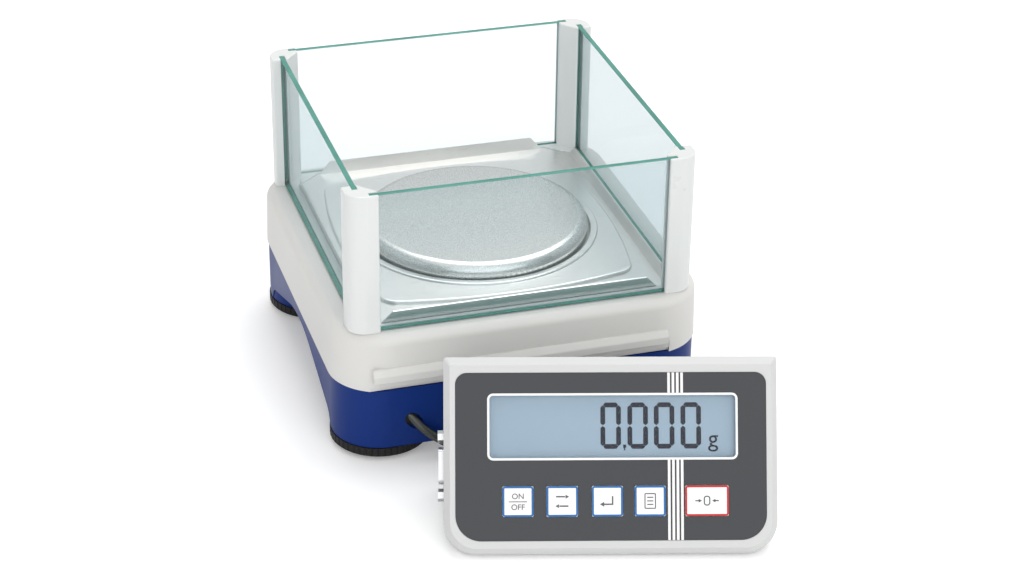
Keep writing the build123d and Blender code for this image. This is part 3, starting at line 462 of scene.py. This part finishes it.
# Display unit: liquid crystal
# A reflective liquid crystal under the window: grey-blue glass with four seven-segment figures, a separator
# and the sign for grams in near-black.
LCD_TONE_MM = 30.0
lcd, tree = new_material("liquid_crystal_glass")
lcd_place = add(tree, "ShaderNodeTexCoord").outputs["Object"]
lcd_noise = add(tree, "ShaderNodeTexNoise", {"Vector": lcd_place, "Scale": 1 / (LCD_TONE_MM * MM),
                                             "Detail": 2.0})
lcd_tone = add(tree, "ShaderNodeValToRGB", {"Fac": lcd_noise.outputs["Fac"]})
lcd_tone.color_ramp.elements[0].color = linear("#94ABBE")
lcd_tone.color_ramp.elements[1].color = linear("#9DB4C5")
lcd_face = add(tree, "ShaderNodeBsdfPrincipled", {"Base Color": lcd_tone.outputs["Color"], "Roughness": 0.35,
                                                  "IOR": 1.5})
add(tree, "ShaderNodeOutputMaterial", {"Surface": lcd_face.outputs["BSDF"]})
cover_nodes(lcd, "lcd_panel")
figure_ink = moulded("figure_black", "#070B22", 0.5)

LCD_W = 0.5
FIGURE_WIDE, FIGURE_HIGH, FIGURE_LOW, STROKE = 8.75, 19.7, 44.6, 2.05
FIGURES_AT = (-4.33, 7.2, 18.5, 29.9)
STROKE_GAP, STROKE_POINT = 0.22, 0.12


def segment(u, v, long, upright):
    """One stroke of a figure: a bar whose two ends run to a blunt point."""
    clear_selection()
    bpy.ops.mesh.primitive_cube_add(size=1, location=(0, 0, 0))
    made = bpy.context.object
    made.scale = (long - STROKE, STROKE, INK_MM)
    bpy.ops.object.transform_apply(location=True, rotation=True, scale=True)
    bpy.ops.object.mode_set(mode="EDIT")
    bpy.ops.mesh.select_mode(type="FACE")
    for way in (-1, 1):
        out = (way * (STROKE / 2 - STROKE_GAP), 0, 0)
        bpy.ops.mesh.select_all(action="DESELECT")
        shape = bmesh.from_edit_mesh(made.data)
        for face in shape.faces:
            face.select_set(face.normal.x * way > 0.9)
        bmesh.update_edit_mesh(made.data)
        bpy.ops.mesh.extrude_region_move(TRANSFORM_OT_translate={"value": out})
        bpy.ops.transform.resize(value=(1, STROKE_POINT, 1))
    bpy.ops.object.mode_set(mode="OBJECT")
    turn = Matrix.Rotation(math.pi / 2 if upright else 0, 4, "Z")
    made.data.transform(Matrix.Translation((u, v, INK_MM / 2)) @ turn)
    return made


strokes = []
for left in FIGURES_AT:
    half, middle = STROKE / 2, FIGURE_LOW + FIGURE_HIGH / 2
    for v in (FIGURE_LOW + half, FIGURE_LOW + FIGURE_HIGH - half):
        strokes.append(segment(left + FIGURE_WIDE / 2, v, FIGURE_WIDE - STROKE, False))
    for u in (left + half, left + FIGURE_WIDE - half):
        for v in (middle - (FIGURE_HIGH - STROKE) / 4, middle + (FIGURE_HIGH - STROKE) / 4):
            strokes.append(segment(u, v, (FIGURE_HIGH - STROKE) / 2, True))

# The separator is a dot with a short tail, between the first figure and the second.
SEPARATOR_DOT, SEPARATOR_TAIL = (5.3, 6.6, 45.0, 46.4), (5.6, 6.2, 43.9, 45.0)
for patch in (SEPARATOR_DOT, SEPARATOR_TAIL):
    strokes.append(bar(*patch, INK_MM))

SIZE_OF_HEIGHT, LETTER_SPREAD = 1.45, 0.03


def word(text, u, v, high):
    """A word in face millimetres, as a thin solid, centred on u with its foot at v."""
    clear_selection()
    bpy.ops.object.text_add(location=(0, 0, 0))
    made = bpy.context.object
    made.data.body = text
    made.data.align_x = "CENTER"
    made.data.size = high * SIZE_OF_HEIGHT
    made.data.extrude = INK_MM / 2
    made.data.offset = LETTER_SPREAD
    bpy.ops.object.convert(target="MESH")
    made = bpy.context.object
    made.data.materials.clear()
    made.data.transform(Matrix.Translation((u, v, INK_MM / 2)))
    return made


GRAM_U, GRAM_V, GRAM_HIGH = 43.8, 45.6, 7.0
strokes.append(word("g", GRAM_U, GRAM_V, GRAM_HIGH))
lay_on_face(join("figures", strokes), LCD_W, "housing", figure_ink)


# Display unit: keys
# Flat white ABS caps that stand just proud of the panel, with a coloured line round each and grey signs
# printed on them: four small keys with a blue line, and a wider one with a red line.
KEYS = {1: (-46.3, -33.1), 2: (-27.6, -14.2), 3: (-8.3, 4.9), 4: (9.9, 23.1), 5: (31.4, 50.0)}
KEY_LOW, KEY_TOP, KEY_W = 16.0, 29.0, 3.3
KEY_LINE, WORD_HIGH = 0.85, 2.3

key_white = moulded("key_abs_white", "#F6F6F6", 0.35, grain_mm=0.5, depth_mm=0.004, mottle=0.01)
cover_nodes(key_white, *[f"key_{n}" for n in KEYS])
blue_ink = moulded("ink_blue", "#0E64A6", 0.4, grain_mm=0.4, depth_mm=0.002, mottle=0.02)
red_ink = moulded("ink_red", "#C4121C", 0.4, grain_mm=0.4, depth_mm=0.002, mottle=0.02)
grey_ink = moulded("ink_grey", "#55575B", 0.45, grain_mm=0.4, depth_mm=0.002, mottle=0.02)


def arrow_head(u, v, size, turn):
    """A small solid triangle that points along the given angle."""
    clear_selection()
    bpy.ops.mesh.primitive_cylinder_add(vertices=3, radius=size, depth=INK_MM)
    made = bpy.context.object
    made.data.transform(Matrix.Translation((u, v, INK_MM / 2)) @ Matrix.Rotation(turn - math.pi / 2, 4, "Z"))
    return made


for n, (u0, u1) in KEYS.items():
    middle = (u0 + u1) / 2
    level = (KEY_LOW + KEY_TOP) / 2
    rim = ring(u0 + KEY_LINE, u1 - KEY_LINE, KEY_LOW + KEY_LINE, KEY_TOP - KEY_LINE, KEY_LINE, 0.3, INK_MM)
    rim.name = f"key_line_{n}"
    lay_on_face(rim, KEY_W, f"button_{n}", red_ink if n == 5 else blue_ink)
    if n == 1:  # the words ON and OFF, above and below a line
        marks = [word("ON", middle, level + 1.1, WORD_HIGH),
                 bar(middle - 3.9, middle + 3.9, level - 0.25, level + 0.1, INK_MM),
                 word("OFF", middle, level - 3.5, WORD_HIGH)]
    elif n == 2:  # two arrows that point opposite ways
        marks = [bar(middle - 2.6, middle + 1.2, level + 1.7, level + 2.3, INK_MM),
                 arrow_head(middle + 1.9, level + 2.0, 1.0, 0.0),
                 bar(middle - 1.2, middle + 2.6, level - 2.3, level - 1.7, INK_MM),
                 arrow_head(middle - 1.9, level - 2.0, 1.0, math.pi)]
    elif n == 3:  # an arrow that turns back to the left
        marks = [bar(middle - 1.6, middle + 2.5, level - 1.6, level - 1.0, INK_MM),
                 bar(middle + 1.9, middle + 2.5, level - 1.0, level + 2.2, INK_MM),
                 arrow_head(middle - 2.0, level - 1.3, 1.2, math.pi)]
    elif n == 4:  # a sheet with three lines
        marks = [ring(middle - 2.0, middle + 2.0, level - 2.9, level + 2.9, 0.45, 0.1, INK_MM)]
        for foot in (-1.7, -0.2, 1.3):
            marks.append(bar(middle - 1.3, middle + 1.3, level + foot, level + foot + 0.45, INK_MM))
    else:  # a nought between two arrows that point at it
        marks = [ring(middle - 0.9, middle + 0.9, level - 1.6, level + 1.6, 0.5, 0.7, INK_MM),
                 bar(middle - 5.0, middle - 3.3, level - 0.25, level + 0.25, INK_MM),
                 arrow_head(middle - 3.1, level, 0.9, 0.0),
                 bar(middle + 3.3, middle + 5.0, level - 0.25, level + 0.25, INK_MM),
                 arrow_head(middle + 3.1, level, 0.9, math.pi)]
    lay_on_face(join(f"key_sign_{n}", marks), KEY_W, f"button_{n}", grey_ink)


# Room
# A white table, a pale room that metal and glass show, a broad lamp above and behind, and a fill in front.
# The table and the room look pure white to the camera, and the table keeps the object's shadow.
TABLE_M, TABLE_WHITE, TABLE_GLOW = 8, 0.93, 0.21
DIFFUSE_LIGHT, GLEAM_LOW, GLEAM_HIGH = 0.6, 0.6, 1.2
clear_selection()
bpy.ops.mesh.primitive_plane_add(size=TABLE_M, location=(0, 0, 0))
table = bpy.context.object
table.name = "table"
table_white, tree = new_material("table_white")
rays = add(tree, "ShaderNodeLightPath")
matte = add(tree, "ShaderNodeBsdfPrincipled", {"Base Color": (TABLE_WHITE, TABLE_WHITE, TABLE_WHITE, 1),
                                               "Roughness": 0.9, "Specular IOR Level": 0.1})
lift = add(tree, "ShaderNodeMath", {0: rays.outputs["Is Camera Ray"], 1: TABLE_GLOW}, operation="MULTIPLY")
glow = add(tree, "ShaderNodeEmission", {"Color": (1, 1, 1, 1), "Strength": lift.outputs[0]})
both = add(tree, "ShaderNodeAddShader", {0: matte.outputs["BSDF"], 1: glow.outputs["Emission"]})
add(tree, "ShaderNodeOutputMaterial", {"Surface": both.outputs["Shader"]})
table.data.materials.append(table_white)

room = bpy.data.worlds.new("room")
bpy.context.scene.world = room
room.use_nodes = True
tree = room.node_tree
tree.nodes.clear()
rays = add(tree, "ShaderNodeLightPath")
seen = add(tree, "ShaderNodeMath",
           {0: rays.outputs["Is Camera Ray"], 1: rays.outputs["Is Transmission Ray"]}, operation="MAXIMUM")
way = add(tree, "ShaderNodeTexCoord").outputs["Generated"]
parts = add(tree, "ShaderNodeSeparateXYZ", {"Vector": way})
height = add(tree, "ShaderNodeMapRange", {"Value": parts.outputs["Z"], "From Min": 0.0, "From Max": 1.0,
                                          "To Min": GLEAM_LOW, "To Max": GLEAM_HIGH})
soft = add(tree, "ShaderNodeBackground", {"Color": (1, 1, 1, 1), "Strength": DIFFUSE_LIGHT})
shown = add(tree, "ShaderNodeBackground", {"Color": (1, 1, 1, 1), "Strength": 1.0})
gleam = add(tree, "ShaderNodeBackground", {"Color": (1, 1, 1, 1), "Strength": height.outputs["Result"]})
by_gloss = add(tree, "ShaderNodeMixShader", {0: rays.outputs["Is Glossy Ray"], 1: soft.outputs["Background"],
                                             2: gleam.outputs["Background"]})
by_eye = add(tree, "ShaderNodeMixShader", {0: seen.outputs[0], 1: by_gloss.outputs["Shader"],
                                           2: shown.outputs["Background"]})
add(tree, "ShaderNodeOutputWorld", {"Surface": by_eye.outputs["Shader"]})


def sun(name, azimuth, elevation, strength, softness):
    """A broad distant lamp, from an azimuth clockwise from the front, seen from above."""
    lamp = bpy.data.lights.new(name, "SUN")
    lamp.energy = strength
    lamp.angle = math.radians(softness)
    made = bpy.data.objects.new(name, lamp)
    a, e = math.radians(azimuth), math.radians(elevation)
    source = Vector((-math.sin(a) * math.cos(e), -math.cos(a) * math.cos(e), math.sin(e)))
    made.rotation_mode = "QUATERNION"
    made.rotation_quaternion = source.to_track_quat("Z", "Y")
    bpy.context.scene.collection.objects.link(made)


sun("lamp_above", azimuth=215, elevation=62, strength=1.3, softness=50)
sun("fill_front", azimuth=3, elevation=32, strength=1.25, softness=70)
